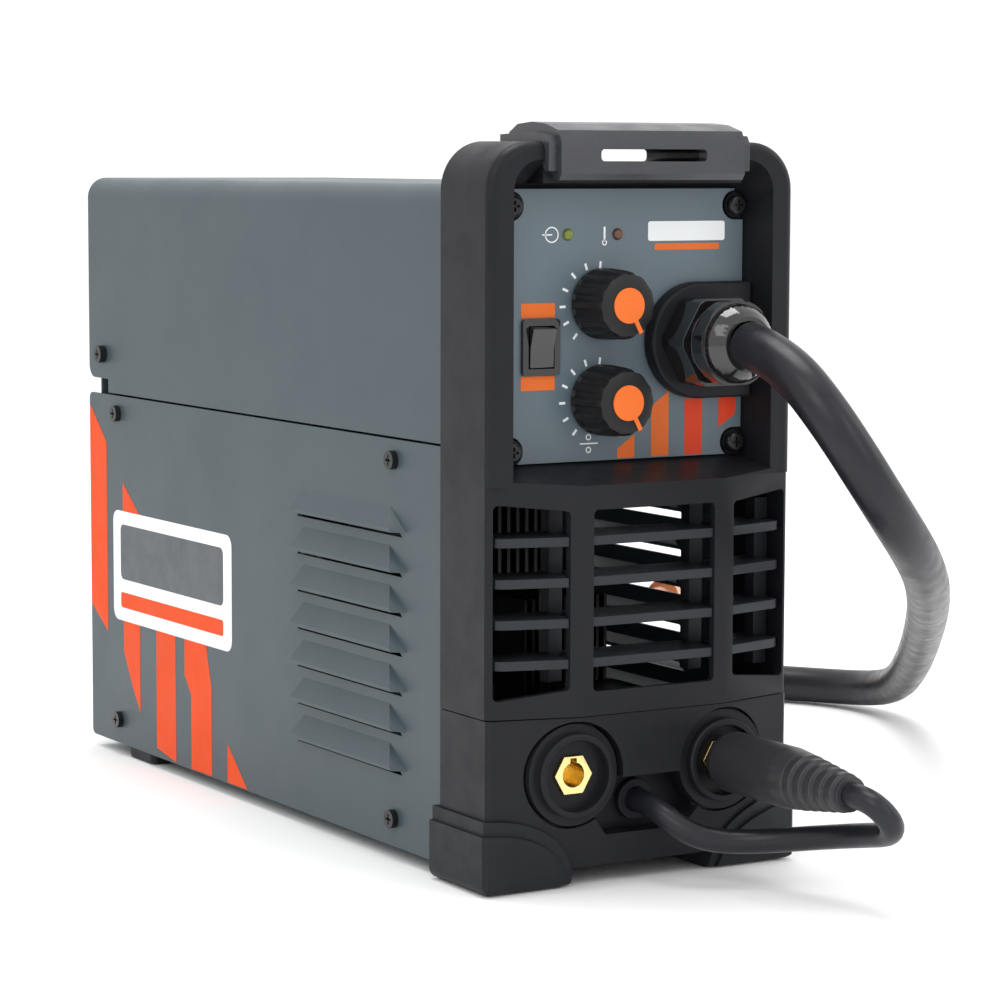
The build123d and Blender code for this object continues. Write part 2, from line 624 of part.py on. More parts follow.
def drive_roll():
    roll = rod_x(DRIVE_R, 25, 37.4, DRIVE_Y, DRIVE_Z) + rod_x(6, 37.4, 41, DRIVE_Y, DRIVE_Z)
    roll -= rod_x(DRIVE_R + 1, WIRE_X - 0.6, WIRE_X + 0.6, DRIVE_Y, DRIVE_Z) - \
        rod_x(DRIVE_R - 0.5, 20, 40, DRIVE_Y, DRIVE_Z)
    return roll + rod_x(4.0, -18, 25, DRIVE_Y, DRIVE_Z)


def pressure_arm():
    arm = box(38.6, 43.6, 104, 151, 210, 226)
    arm = fillet(arm.edges().filter_by(Axis.X), 3)
    arm += rod_x(3.0, 24.6, 38.6, DRIVE_Y, PRESS_Z)
    arm -= rod_x(3.0 + RUNNING, 30, 50, ARM_Y, ARM_Z)
    return arm - rod_z(1.6, 215, 230, 41.1, 110)


def pressure_roll():
    roll = rod_x(PRESS_R, 25.4, 37.0, DRIVE_Y, PRESS_Z)
    return roll - rod_x(3.0 + RUNNING, 20, 40, DRIVE_Y, PRESS_Z)


def tension_knob():
    cap = rod_z(7, 226.3, 234, 41.1, 110)
    for i in range(10):
        a = 2 * math.pi * i / 10
        cap -= rod_z(1.1, 228, 240, 41.1 + 7.4 * math.cos(a), 110 + 7.4 * math.sin(a))
    return cap + rod_z(1.54, 215.3, 226.3, 41.1, 110)


# ---------------------------------------------------------------- inverter under the deck
def main_board():
    board = box(-57, 57, 20, 280, 14, 15.6)
    legs = [rod_z(3, CASE_BOTTOM + SHEET, 14, x, y) for x in (-52, 52) for y in (26, 150, 274)]
    return together([board, *legs])


def heat_sinks():
    def sink(x0, x1, y0, y1, low, high):
        block = box(x0, x1, y0, y1, low, low + 4)
        count = int((x1 - x0) // 4)
        for i in range(count + 1):
            x = x0 + i * (x1 - x0 - 1.4) / count
            block += box(x, x + 1.4, y0, y1, low + 4, high)
        return block

    return together([sink(-48, -10, 14, 100, 108, DECK_Z), sink(14, 54, 70, 190, 44, 92)])


def power_components():
    pieces = [rod_z(14, 15.6, 66, -34, y) for y in (40, 74, 108)]
    pieces.append(box(16, 52, 30, 62, 15.6, 58))
    pieces.append(box(-52, -14, 150, 205, 15.6, 62))
    ring = rod_z(22, 15.6, 34, 30, 238) - rod_z(10, 10, 40, 30, 238)
    pieces.append(ring)
    pieces += [rod_z(2.5, 66.5, DECK_Z, x, y) for x, y in ((-4, 24), (8, 44))]
    return together(pieces)


def fan_frame():
    frame = box(-40, 40, *FAN_Y, FAN_Z - 40, FAN_Z + 40)
    frame -= rod_y(38, FAN_Y[0] - 1, FAN_Y[1] + 1, 0, FAN_Z)
    hub = rod_y(15, FAN_Y[1] - 3, FAN_Y[1], 0, FAN_Z) + rod_y(3, FAN_Y[0] + 4, FAN_Y[1] - 3, 0, FAN_Z)
    for i in range(3):
        arm = Pos(0, FAN_Y[1] - 1.5, FAN_Z) * Rot(0, 120 * i + 30, 0) * Pos(26.5, 0, 0) * Box(25, 3, 3.5)
        hub += arm
    return frame + hub


def fan_rotor():
    hub = rod_y(15.5, FAN_Y[0] + 2, FAN_Y[1] - 4, 0, FAN_Z)
    for i in range(7):
        blade = Rot(0, 360 / 7 * i, 0) * Pos(26, 0, 0) * Rot(38, 0, 0) * Box(22, 1.2, 19)
        hub += Pos(0, (FAN_Y[0] + FAN_Y[1]) / 2 - 1, FAN_Z) * blade
    hub = hub & rod_y(37, FAN_Y[0] + 1, FAN_Y[1] - 4, 0, FAN_Z)
    return hub - rod_y(3.0 + RUNNING, FAN_Y[0] + 3.5, FAN_Y[1], 0, FAN_Z)


# ---------------------------------------------------------------- torch and cords
def torch_cable():
    run = tube([*CABLE_ROUTE, coil_point(0)], TORCH_CABLE_R)
    return together([run, tube(tail_route(), TORCH_CABLE_R)])


def tail_route():
    """From the inner end of the coil up on to its top and round into the torch's sleeve."""
    over = [(-81, 54, 13), (-103, 27, 21), (-113, -6, 25.8), (-114, -37, 27.5),
            (-105.2, -58.4, 29.2), (-88.9, -74.7, 31.4)]
    points = [(COIL_X + x, COIL_Y + y, z) for x, y, z in over]
    sleeve_x = HANDLE_REAR_X - SLEEVE
    return [coil_point(COIL_SWEEP_DEG), *points, (sleeve_x - 23.5, TORCH_Y, TORCH_Z),
            (sleeve_x, TORCH_Y, TORCH_Z)]


def coil_radius(turned_deg):
    return COIL_START_R - 2 * TORCH_CABLE_R * turned_deg / 360


def coil_point(turned_deg):
    a, r = math.radians(COIL_START_DEG + turned_deg), coil_radius(turned_deg)
    return (COIL_X + r * math.cos(a), COIL_Y + r * math.sin(a), TORCH_CABLE_R)


def torch_cable_coil():
    outer = COIL_START_R + TORCH_CABLE_R
    inner = coil_radius(COIL_SWEEP_DEG) - TORCH_CABLE_R
    ring = rod_z(outer, 0, 2 * TORCH_CABLE_R, COIL_X, COIL_Y)
    return ring - rod_z(inner, -1, 2 * TORCH_CABLE_R + 1, COIL_X, COIL_Y)


def torch_handle():
    grip = rod_x(16, HANDLE_FRONT_X, HANDLE_REAR_X, TORCH_Y, TORCH_Z)
    grip = fillet(grip.edges().filter_by(GeomType.CIRCLE), 4)
    front = HANDLE_FRONT_X - 22
    grip -= box(front - 36, front, TORCH_Y + 4, TORCH_Y + 20, TORCH_Z - 5, TORCH_Z + 5)
    sleeve = Pos(HANDLE_REAR_X - SLEEVE / 2, TORCH_Y, TORCH_Z) * Rot(0, 90, 0) * Cone(9.6, 12, SLEEVE)
    return grip + sleeve


def torch_neck():
    points = [(HANDLE_FRONT_X, TORCH_Y, TORCH_Z), (HANDLE_FRONT_X + 34, TORCH_Y, TORCH_Z),
              (HANDLE_FRONT_X + 56, TORCH_Y + 20, TORCH_Z)]
    line = FilletPolyline(*points, radius=30)
    section = Plane(origin=line @ 0, z_dir=line % 0) * Circle(6)
    return sweep(section, path=line)


def torch_nozzle():
    away = Vector(22, 20, 0).normalized()
    base = Vector(HANDLE_FRONT_X + 56, TORCH_Y + 20, TORCH_Z)
    place = Plane(origin=base, z_dir=away)
    shell = extrude(place * Circle(9), 42) - extrude(place.offset(4) * Circle(7), 40)
    tip = extrude(place * Circle(3), 40)
    return shell + tip - extrude(place.offset(20) * Circle(0.6), 30)


def torch_trigger():
    front = HANDLE_FRONT_X - 22.5
    low = TORCH_Y + 4.5 + TRIGGER_TRAVEL
    blade = box(front - 35, front, low, TORCH_Y + 20.5, TORCH_Z - 4.6, TORCH_Z + 4.6)
    blade = fillet(blade.edges().filter_by(Axis.Z).group_by(Axis.Y)[-1], 6)
    return blade


# ---------------------------------------------------------------- export
def place(shape):
    return Pos(0, -Y_MID, 0) * shape


def save(name, shape):
    export_step(place(shape), f"parts/{name}.step")


def front_switch(shape):
    return Pos(SWITCH_X, PANEL_FRONT, SWITCH_Z) * shape


def rear_switch(shape):
    return Pos(30, 316, 134) * Rot(0, 0, 180) * shape


def main():
    os.makedirs("parts", exist_ok=True)
    left_panel, right_boot, bezel = lower_panel_left(), front_boot_right(), front_bezel()
    nodes = {
        "lid": lid(), "lid_pivot_screws": pivot_screws(), "base_pan": base_pan(), "rear_feet": rear_feet(),
        "lower_panel_left": left_panel, "lower_panel_right": mirror_x(left_panel),
        "side_screws": side_screws(), "rear_panel": rear_panel(), "mains_gland": mains_gland(),
        "deck_plate": deck_plate(), "front_bezel": bezel, "grille_slats": grille_slats(),
        "socket_panel": socket_panel(), "front_boot_right": right_boot,
        "front_boot_left": mirror_x(right_boot), "strap_bracket": strap_bracket(bezel),
        "control_panel": control_panel(), "panel_screws": panel_screws(), "led_power": led(LED_X[0]),
        "led_thermal": led(LED_X[1]), "potentiometers": potentiometers(),
        "knob_amps": knob(KNOB_Z[0]), "knob_amps_cap": knob_cap(KNOB_Z[0]),
        "knob_wire": knob(KNOB_Z[1]), "knob_wire_cap": knob_cap(KNOB_Z[1]),
        "mode_switch_housing": front_switch(switch_housing()), "mode_rocker": front_switch(switch_rocker()),
        "power_switch_housing": rear_switch(switch_housing()), "power_rocker": rear_switch(switch_rocker()),
        "torch_pod": torch_pod(), "torch_gland_body": gland_body(), "torch_gland_nut": gland_nut(),
        "socket_rings": socket_rings(), "socket_contacts": socket_contacts(), "cable_grommet": grommet(),
        "polarity_lead": tube(LEAD_ROUTE, LEAD_R), "plug_body": plug_body(), "plug_pin": plug_pin(),
        "partition_plate": partition(), "spool_spindle": spool_spindle(), "wire_spool": wire_spool(),
        "wire_winding": wire_winding(), "feed_bracket": feed_bracket(), "wire_guides": wire_guides(),
        "feed_motor": feed_motor(),
        "drive_roll": drive_roll(), "pressure_arm": pressure_arm(), "pressure_roll": pressure_roll(),
        "tension_knob": tension_knob(), "main_board": main_board(), "heat_sinks": heat_sinks(),
        "power_components": power_components(), "fan_frame": fan_frame(), "fan_rotor": fan_rotor(),
        "torch_cable": torch_cable(), "torch_cable_coil": torch_cable_coil(),
        "torch_handle": torch_handle(), "torch_neck": torch_neck(), "torch_nozzle": torch_nozzle(),
        "torch_trigger": torch_trigger(),
    }
    for name, shape in nodes.items():
        save(name, shape)


main()
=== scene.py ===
import json
import math

import bmesh
import bpy
from mathutils import Matrix, Vector

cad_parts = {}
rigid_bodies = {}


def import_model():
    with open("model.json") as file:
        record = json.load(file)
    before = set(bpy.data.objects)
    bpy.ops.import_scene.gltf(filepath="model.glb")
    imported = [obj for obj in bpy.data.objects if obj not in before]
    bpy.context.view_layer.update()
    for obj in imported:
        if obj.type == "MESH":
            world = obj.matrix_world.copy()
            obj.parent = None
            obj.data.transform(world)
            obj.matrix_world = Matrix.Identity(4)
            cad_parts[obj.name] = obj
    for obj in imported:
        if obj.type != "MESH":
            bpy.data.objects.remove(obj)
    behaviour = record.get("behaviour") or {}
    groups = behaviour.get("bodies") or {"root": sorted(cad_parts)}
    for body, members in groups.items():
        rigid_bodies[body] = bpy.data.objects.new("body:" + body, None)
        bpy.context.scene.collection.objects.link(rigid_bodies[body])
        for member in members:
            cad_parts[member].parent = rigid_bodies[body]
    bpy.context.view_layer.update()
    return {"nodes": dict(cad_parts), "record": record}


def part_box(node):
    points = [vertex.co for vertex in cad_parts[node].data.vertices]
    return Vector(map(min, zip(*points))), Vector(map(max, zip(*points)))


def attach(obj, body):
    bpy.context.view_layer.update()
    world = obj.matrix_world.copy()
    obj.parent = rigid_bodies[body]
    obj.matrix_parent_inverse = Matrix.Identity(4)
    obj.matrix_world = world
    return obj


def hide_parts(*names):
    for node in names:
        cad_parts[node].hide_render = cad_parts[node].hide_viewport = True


# The looks of a compact MIG welder. Sizes are millimetres in the part's own directions, with
# y counted from the front end of the casing; at() turns them into the frame's metres.
MM = 0.001
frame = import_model()

NUT_MOUTH_Y = -62.5
CASE_HALF, PANEL_FRONT = 65.6, -25.0
KNOB_X, KNOB_BACK, KNOB_HEIGHTS = -10.8, -26.3, {"knob_amps": 217.4, "knob_wire": 181.3}
SIDE_INK, LABEL_BASE, LABEL_TOP = 0.1, 0.16, 0.2  # how proud the side's prints stand
PANEL_INK, SWITCH_INK = 0.06, 0.08  # and the panel's
Y_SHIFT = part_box("torch_gland_nut")[0].y / MM - NUT_MOUTH_Y
TORCH_CABLE_D, LEAD_D = 17.5, 9.2
COIL_X, COIL_Y, COIL_R = 150.0, 478.0, 112.0
COIL_START, COIL_SWEEP = -20, 500
TORCH_Y, TORCH_Z = COIL_Y - 83.5, TORCH_CABLE_D + 16.1
HANDLE_REAR_X, SLEEVE = COIL_X - 20.0, 24.0


def at(x, y, z):
    return Vector((x, y + Y_SHIFT, z)) * MM


# ---------------------------------------------------------------- camera
def add_camera():
    yaw, pitch, roll = (math.radians(v) for v in (30.75, 6.03, 0.18))
    forward = Vector((math.sin(yaw) * math.cos(pitch), math.cos(yaw) * math.cos(pitch), -math.sin(pitch)))
    level = Vector((math.cos(yaw), -math.sin(yaw), 0))
    upright = level.cross(forward)
    right = math.cos(roll) * level + math.sin(roll) * upright
    up = math.cos(roll) * upright - math.sin(roll) * level
    camera = bpy.data.objects.new("camera", bpy.data.cameras.new("camera"))
    turned = Matrix((right, up, -forward)).transposed().to_4x4()
    camera.matrix_world = Matrix.Translation(at(-666.3, -1053.9, 272.0)) @ turned
    camera.data.lens = 116.94
    camera.data.sensor_width = 36
    camera.data.clip_end = 20
    bpy.context.collection.objects.link(camera)
    bpy.context.scene.camera = camera


add_camera()


# ---------------------------------------------------------------- materials
def new_material(name):
    material = bpy.data.materials.new(name)
    material.use_nodes = True
    return material, material.node_tree.nodes, material.node_tree.links


def noise(nodes, links, coords, scale, detail=3.0, roughness=0.55, stretch=None):
    texture = nodes.new("ShaderNodeTexNoise")
    texture.inputs["Scale"].default_value = scale
    texture.inputs["Detail"].default_value = detail
    texture.inputs["Roughness"].default_value = roughness
    if stretch:
        mapping = nodes.new("ShaderNodeMapping")
        mapping.inputs["Scale"].default_value = stretch
        links.new(coords, mapping.inputs["Vector"])
        coords = mapping.outputs["Vector"]
    links.new(coords, texture.inputs["Vector"])
    return texture.outputs["Fac"]


def spread(nodes, links, value, low, high, start=0.3, end=0.7):
    mapped = nodes.new("ShaderNodeMapRange")
    for key, number in (("From Min", start), ("From Max", end), ("To Min", low), ("To Max", high)):
        mapped.inputs[key].default_value = number
    links.new(value, mapped.inputs["Value"])
    return mapped.outputs["Result"]


def blend_colour(nodes, links, factor, first, second):
    mix = nodes.new("ShaderNodeMix")
    mix.data_type = "RGBA"
    links.new(factor, mix.inputs["Factor"])
    for socket, colour in (("A", first), ("B", second)):
        target = [s for s in mix.inputs if s.name == socket and s.type == "RGBA"][0]
        if isinstance(colour, tuple):
            target.default_value = (*colour, 1)
        else:
            links.new(colour, target)
    return [s for s in mix.outputs if s.type == "RGBA"][0]


def surface(name, colour, rough, metallic=0.0, vary=0.1, patch=30, rough_spread=0.08, grain=1500,
            relief=0.00003, stretch=None, dust=None, coat=0.0, shine=0.5):
    """A finish with slow colour change, uneven gloss and a fine relief."""
    material, nodes, links = new_material(name)
    shader = nodes["Principled BSDF"]
    coords = nodes.new("ShaderNodeTexCoord").outputs["Object"]
    slow = noise(nodes, links, coords, patch, 4.0)
    darker = tuple(c * (1 - vary) for c in colour)
    lighter = tuple(min(1, c * (1 + vary)) for c in colour)
    tint = blend_colour(nodes, links, spread(nodes, links, slow, 0, 1), darker, lighter)
    if dust:
        speck = noise(nodes, links, coords, 260, 5.0, 0.7)
        tint = blend_colour(nodes, links, spread(nodes, links, speck, 0, 0.35, 0.52, 0.8), tint, dust)
    links.new(tint, shader.inputs["Base Color"])
    gloss = noise(nodes, links, coords, patch * 3.3, 5.0)
    roughness = spread(nodes, links, gloss, rough - rough_spread, rough + rough_spread)
    links.new(roughness, shader.inputs["Roughness"])
    shader.inputs["Metallic"].default_value = metallic
    shader.inputs["Specular IOR Level"].default_value = shine
    shader.inputs["Coat Weight"].default_value = coat
    shader.inputs["Coat Roughness"].default_value = 0.06
    bump = nodes.new("ShaderNodeBump")
    bump.inputs["Strength"].default_value = 0.5
    bump.inputs["Distance"].default_value = relief
    links.new(noise(nodes, links, coords, grain, 2.0, 0.5, stretch), bump.inputs["Height"])
    links.new(bump.outputs["Normal"], shader.inputs["Normal"])
    return material


PAINT = (0.049, 0.069, 0.079)
ORANGE = (0.72, 0.148, 0.026)
looks = {
    "casing": surface("powder_coat", PAINT, 0.36, vary=0.04, patch=9, rough_spread=0.05, grain=900,
                      relief=0.00005, shine=0.25),
    "frame_plastic": surface("textured_black", (0.0115, 0.012, 0.0142), 0.4, vary=0.12, patch=25, grain=2600,
                             relief=0.00008, shine=0.16),
    "slat_plastic": surface("slat_black", (0.02, 0.022, 0.027), 0.38, vary=0.12, grain=2200, relief=0.00005,
                            shine=0.25),
    "panel_print": surface("panel_overlay", (0.10, 0.135, 0.16), 0.42, vary=0.05, patch=14, grain=3200,
                           relief=0.00002),
    "black_screw": surface("black_oxide", (0.018, 0.018, 0.02), 0.22, metallic=0.5, grain=900,
                           relief=0.00003),
    "knob_plastic": surface("knob_black", (0.011, 0.011, 0.012), 0.4, grain=2600, relief=0.00006, shine=0.25),
    "orange_plastic": surface("orange_print", ORANGE, 0.38, vary=0.05, grain=1800, relief=0.00001,
                              shine=0.18),
    "gloss_black": surface("gloss_black", (0.008, 0.008, 0.009), 0.09, vary=0.1, rough_spread=0.03, grain=200,
                           relief=0.00001, coat=0.6),
    "led_green": surface("led_green", (0.16, 0.2, 0.03), 0.12, patch=900, rough_spread=0.04, relief=0.00001),
    "led_amber": surface("led_amber", (0.13, 0.05, 0.03), 0.12, patch=900, rough_spread=0.04, relief=0.00001),
    "brass": surface("turned_brass", (0.98, 0.74, 0.32), 0.24, metallic=1.0, patch=60, grain=500,
                     stretch=(1, 9, 1), relief=0.00003),
    "rubber": surface("boot_rubber", (0.0125, 0.0135, 0.016), 0.46, vary=0.12, grain=2400, relief=0.00008,
                      dust=(0.02, 0.021, 0.023), shine=0.18),
    "cable": surface("cable_sheath", (0.013, 0.0135, 0.0175), 0.34, vary=0.14, patch=40, grain=700,
                     relief=0.00003, shine=0.3),
    "zinc": surface("zinc_sheet", (0.52, 0.54, 0.56), 0.36, metallic=0.9, patch=18, grain=300,
                    stretch=(8, 1, 8), relief=0.00004),
    "spool_plastic": surface("spool_black", (0.02, 0.02, 0.022), 0.45, grain=1400, relief=0.00005),
    "wire_metal": surface("copper_washed_wire", (0.72, 0.4, 0.24), 0.28, metallic=1.0, patch=80, grain=1100,
                          stretch=(1, 0.04, 0.04), relief=0.0004),
    "machined": surface("turned_steel", (0.5, 0.5, 0.51), 0.25, metallic=1.0, grain=700, stretch=(10, 1, 1),
                        relief=0.00003),
    "aluminium": surface("aluminium", (0.6, 0.61, 0.62), 0.34, metallic=1.0, grain=500, stretch=(1, 0.2, 1),
                         relief=0.00004),
    "board": surface("solder_mask", (0.02, 0.11, 0.05), 0.3, vary=0.25, patch=60, grain=400, relief=0.0001),
    "component": surface("potted_component", (0.045, 0.046, 0.055), 0.4, vary=0.2, grain=800, relief=0.00005),
    "copper": surface("plated_copper", (0.78, 0.42, 0.25), 0.24, metallic=1.0, grain=500, relief=0.00003),
}
white_ink = surface("white_ink", (0.8, 0.82, 0.83), 0.42, vary=0.03, grain=1500, relief=0.00001, shine=0.2)
grey_ink = surface("grey_ink", (0.05, 0.062, 0.07), 0.42, vary=0.05, grain=1500, relief=0.00001)
red_ink = surface("red_ink", (0.66, 0.05, 0.014), 0.38, vary=0.05, grain=1500, relief=0.00001, shine=0.18)

side_orange = surface("side_print_orange", (0.7, 0.066, 0.006), 0.45, vary=0.05, grain=1800, relief=0.00001,
                      shine=0.1)
OWN_LOOKS = {
    "heat_sinks": surface("anodised_fins", (0.03, 0.031, 0.034), 0.45, metallic=0.6, grain=500,
                          stretch=(1, 0.2, 1), relief=0.00004),
    # strap_bracket: a glossier copy of the black frame plastic, with a base colour about three times lighter
    # than the frame's. The lighter colour is painted light standing in for the strong top light on its upper
    # face.
    "strap_bracket": surface("bracket_satin_painted_light", (0.034, 0.035, 0.042), 0.3, vary=0.1, patch=25, grain=2600,
                             relief=0.00008),
    "plug_body": surface("plug_satin", (0.024, 0.0245, 0.027), 0.4, vary=0.1, patch=25, grain=2600,
                         relief=0.00008),
}

slots = {part["node"]: part["material_slot"] for part in frame["record"]["subparts"]}
for node, item in frame["nodes"].items():
    item.data.materials.clear()
    item.data.materials.append(OWN_LOOKS.get(node, looks[slots[node]]))


# ---------------------------------------------------------------- mesh helpers
def add_mesh(name, mesh, material, body="machine"):
    piece = bpy.data.objects.new(name, mesh)
    bpy.context.collection.objects.link(piece)
    mesh.materials.clear()
    mesh.materials.append(material)
    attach(piece, body)
    return piece


def from_bmesh(name, shape, material, body="machine", angle=35):
    mesh = bpy.data.meshes.new(name)
    bmesh.ops.recalc_face_normals(shape, faces=shape.faces)
    shape.to_mesh(mesh)
    shape.free()
    mesh.shade_smooth()
    mesh.set_sharp_from_angle(angle=math.radians(angle))
    return add_mesh(name, mesh, material, body)


def body_named(node):
    return next(body for body, nodes in frame["record"]["behaviour"]["bodies"].items() if node in nodes)


def refine(node, width, segments=2, angle=32):
    """A CAD sub-part with its sharp edges rounded, standing for the plain one."""
    shape = bmesh.new()
    shape.from_mesh(frame["nodes"][node].data)
    bmesh.ops.remove_doubles(shape, verts=shape.verts, dist=2e-6)
    bmesh.ops.dissolve_limit(shape, angle_limit=math.radians(0.6), verts=shape.verts, edges=shape.edges)
    mesh = bpy.data.meshes.new(node + "_rounded")
    shape.to_mesh(mesh)
    shape.free()
    mesh.shade_smooth()
    piece = add_mesh(node + "_rounded", mesh, OWN_LOOKS.get(node, looks[slots[node]]), body_named(node))
    bevel = piece.modifiers.new("rounding", "BEVEL")
    bevel.width = width * MM
    bevel.segments = segments
    bevel.limit_method = "ANGLE"
    bevel.angle_limit = math.radians(angle)
    bevel.harden_normals = True
    bevel.use_clamp_overlap = True
    flats = piece.modifiers.new("flats", "WEIGHTED_NORMAL")
    flats.keep_sharp = True
    flats.weight = 60
    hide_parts(node)
    return piece


def plate(name, outline, thickness, material, place, body="machine"):
    """A thin printed patch: outline in a plane given by place(u, v, depth)."""
    shape = bmesh.new()
    low = [shape.verts.new(place(u, v, 0)) for u, v in outline]
    high = [shape.verts.new(place(u, v, thickness)) for u, v in outline]
    shape.faces.new(low)
    shape.faces.new(high)
    for i in range(len(outline)):
        j = (i + 1) % len(outline)
        shape.faces.new((low[i], low[j], high[j], high[i]))
    piece = from_bmesh(name, shape, material, body)
    return piece


def revolve(name, profile, centre, material, body="machine", steps=64, modulate=None):
    """A turned piece on a y axis: profile is (radius, y); modulate(angle, i) scales the radius."""
    shape = bmesh.new()
    rings = []
    for i, (r, y) in enumerate(profile):
        ring = []
        for k in range(steps):
            a = 2 * math.pi * k / steps
            q = r * (modulate(a, i) if modulate else 1)
            ring.append(shape.verts.new(at(centre[0] + q * math.cos(a), y, centre[1] + q * math.sin(a))))
        rings.append(ring)
    for low, high in zip(rings, rings[1:]):
        for k in range(steps):
            j = (k + 1) % steps
            shape.faces.new((low[k], low[j], high[j], high[k]))
    shape.faces.new(rings[0])
    shape.faces.new(rings[-1])
    piece = from_bmesh(name, shape, material, body)
    return piece


# ---------------------------------------------------------------- cords
LEAD_ROUTE = [
    (0, -33, 29.5), (0, -47, 29.5), (3, -58, 22.5), (12, -65.5, 17.5), (26, -74, 17),
    (40, -92, 20.5), (45.5, -112, 24.5), (45, -126, 27.3), (44.3, -135.9, 29.6), (41, -141.5, 33.8),
    (36.4, -141.5, 39.6), (33.3, -135.9, 43.5), (33.3, -126.5, 43.5),
]
CABLE_ROUTE = [
    (31.2, -62.5, 202.8), (31.2, -85, 198.5), (33.5, -104, 184), (43, -115, 163),
    (61, -113, 141), (87, -95, 123), (118, -62, 107), (172, 6, 85), (227, 80, 59),
    (274, 148, 33), (302, 196, 14), (304, 234, 9), (284, 266, 8.75), (254, 300, 8.75),
    (238, 342, 8.75), (240, 388, 8.75),
]
OVER_THE_COIL = [
    (-81, 54, 13), (-103, 27, 21), (-113, -6, 25.8), (-114, -37, 27.5),
    (-105.2, -58.4, 29.2), (-88.9, -74.7, 31.4),
]


def coil_turns():
    points = []
    for turned in range(0, COIL_SWEEP + 1, 20):
        a = math.radians(COIL_START + turned)
        r = COIL_R - TORCH_CABLE_D * turned / 360
        points.append((COIL_X + r * math.cos(a), COIL_Y + r * math.sin(a), TORCH_CABLE_D / 2))
    return points


def cord(name, points, diameter, material):
    curve = bpy.data.curves.new(name, "CURVE")
    curve.dimensions = "3D"
    spline = curve.splines.new("NURBS")
    spline.points.add(len(points) - 1)
    for control, point in zip(spline.points, points):
        control.co = (*at(*point), 1)
    spline.order_u = 4
    spline.use_endpoint_u = True
    spline.resolution_u = 10
    curve.bevel_depth = diameter / 2 * MM
    curve.bevel_resolution = 8
    curve.use_fill_caps = True
    curve.materials.append(material)
    piece = bpy.data.objects.new(name, curve)
    bpy.context.collection.objects.link(piece)
    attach(piece, "machine")
    return piece


over = [(COIL_X + x, COIL_Y + y, z) for x, y, z in OVER_THE_COIL]
sleeve_x = HANDLE_REAR_X - SLEEVE
into_sleeve = [(sleeve_x - 23.5, TORCH_Y, TORCH_Z), (sleeve_x, TORCH_Y, TORCH_Z)]
torch_route = [*CABLE_ROUTE, *coil_turns(), *over, *into_sleeve]
torch_line = cord("torch_hose", torch_route, TORCH_CABLE_D, looks["cable"])
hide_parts("torch_cable", "torch_cable_coil")
lead_line = cord("polarity_lead_line", LEAD_ROUTE, LEAD_D, looks["cable"])
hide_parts("polarity_lead")

# ---------------------------------------------------------------- rounded CAD sub-parts
ROUNDED = {
    "lid": 0.35, "lower_panel_left": 0.35, "lower_panel_right": 0.35, "rear_panel": 0.3, "front_bezel": 0.7,
    "grille_slats": 0.6, "socket_panel": 0.7, "front_boot_left": 0.8, "front_boot_right": 0.8,
    "strap_bracket": 0.6, "control_panel": 0.3, "torch_pod": 0.5, "torch_gland_body": 0.8,
    "torch_gland_nut": 0.6, "socket_rings": 0.4, "socket_contacts": 0.3, "mode_switch_housing": 0.4,
    "mode_rocker": 0.4, "power_switch_housing": 0.4, "power_rocker": 0.4, "mains_gland": 0.4,
    "rear_feet": 0.6, "side_screws": 0.25, "panel_screws": 0.2, "lid_pivot_screws": 0.25,
    "cable_grommet": 0.4, "plug_body": 0.25, "pressure_arm": 0.4, "feed_bracket": 0.5, "feed_motor": 0.6,
    "torch_trigger": 0.5, "torch_nozzle": 0.3, "tension_knob": 0.3,
}
SHALLOW_FOLDS = ("lower_panel_left", "lower_panel_right")
for node, width in ROUNDED.items():
    refine(node, width, angle=14 if node in SHALLOW_FOLDS else 32)


# ---------------------------------------------------------------- printed graphics
def on_side(side):
    """Places for prints on one side sheet: -1 is the left, 1 the right."""
    def place(y, z, depth):
        return at(side * (CASE_HALF + depth), y, z)
    return place


def on_panel(x, z, depth):
    return at(x, PANEL_FRONT - depth, z)


SIDE_BARS = {
    "side_bar_1": [(325.2, 158.5), (307, 142), (307, 55), (325.2, 66)],
    "side_bar_2": [(289.5, 125), (272, 112), (272, 22), (281, 34), (289.5, 48)],
    "side_bar_3": [(254.5, 67), (234.5, 67), (234.5, 5.6), (254.5, 9)],
    "side_bar_4": [(225.2, 67), (205, 67), (198.4, 44), (198.4, 5.4), (218.6, 5.4), (218.6, 38), (225.2, 46)],
    "side_bar_5": [(182.8, 22), (164, 5.4), (182.8, 5.4)],
}
for name, outline in SIDE_BARS.items():
    plate(name, outline, SIDE_INK, side_orange, on_side(-1))
    plate(name + "_right", outline, SIDE_INK, side_orange, on_side(1))


def rounded(x0, x1, z0, z1, r, steps=6):
    corners = ((x1 - r, z1 - r, 0), (x0 + r, z1 - r, 90), (x0 + r, z0 + r, 180), (x1 - r, z0 + r, 270))
    points = []
    for cx, cz, start in corners:
        for k in range(steps + 1):
            a = math.radians(start + 90 * k / steps)
            points.append((cx + r * math.cos(a), cz + r * math.sin(a)))
    return points


def side_label(name, side):
    plate(name, rounded(178, 300, 62, 112, 5), LABEL_BASE, white_ink, on_side(side))
    plate(name + "_band", rounded(186, 292, 68, 75, 1.5), LABEL_TOP, side_orange, on_side(side))
    plate(name + "_field", rounded(186, 292, 81, 106, 3), LABEL_TOP, grey_ink, on_side(side))


side_label("left_blank_label", -1)
side_label("right_blank_label", 1)


def ticks(name, centre_x, centre_z, ring=15.0, half_length=1.3, half_width=0.48):
    for i in range(7):
        a = math.radians(84 + 24.5 * i)
        u, v = Vector((math.cos(a), math.sin(a))), Vector((-math.sin(a), math.cos(a)))
        middle = Vector((centre_x, centre_z)) + ring * u
        signs = ((-1, -1), (1, -1), (1, 1), (-1, 1))
        corners = [middle + half_length * s * u + half_width * t * v for s, t in signs]
        plate(f"{name}_{i}", [tuple(c) for c in corners], PANEL_INK, white_ink, on_panel)


ticks("amps_tick", -12.3, 217.0)
ticks("wire_tick", -12.3, 181.0)

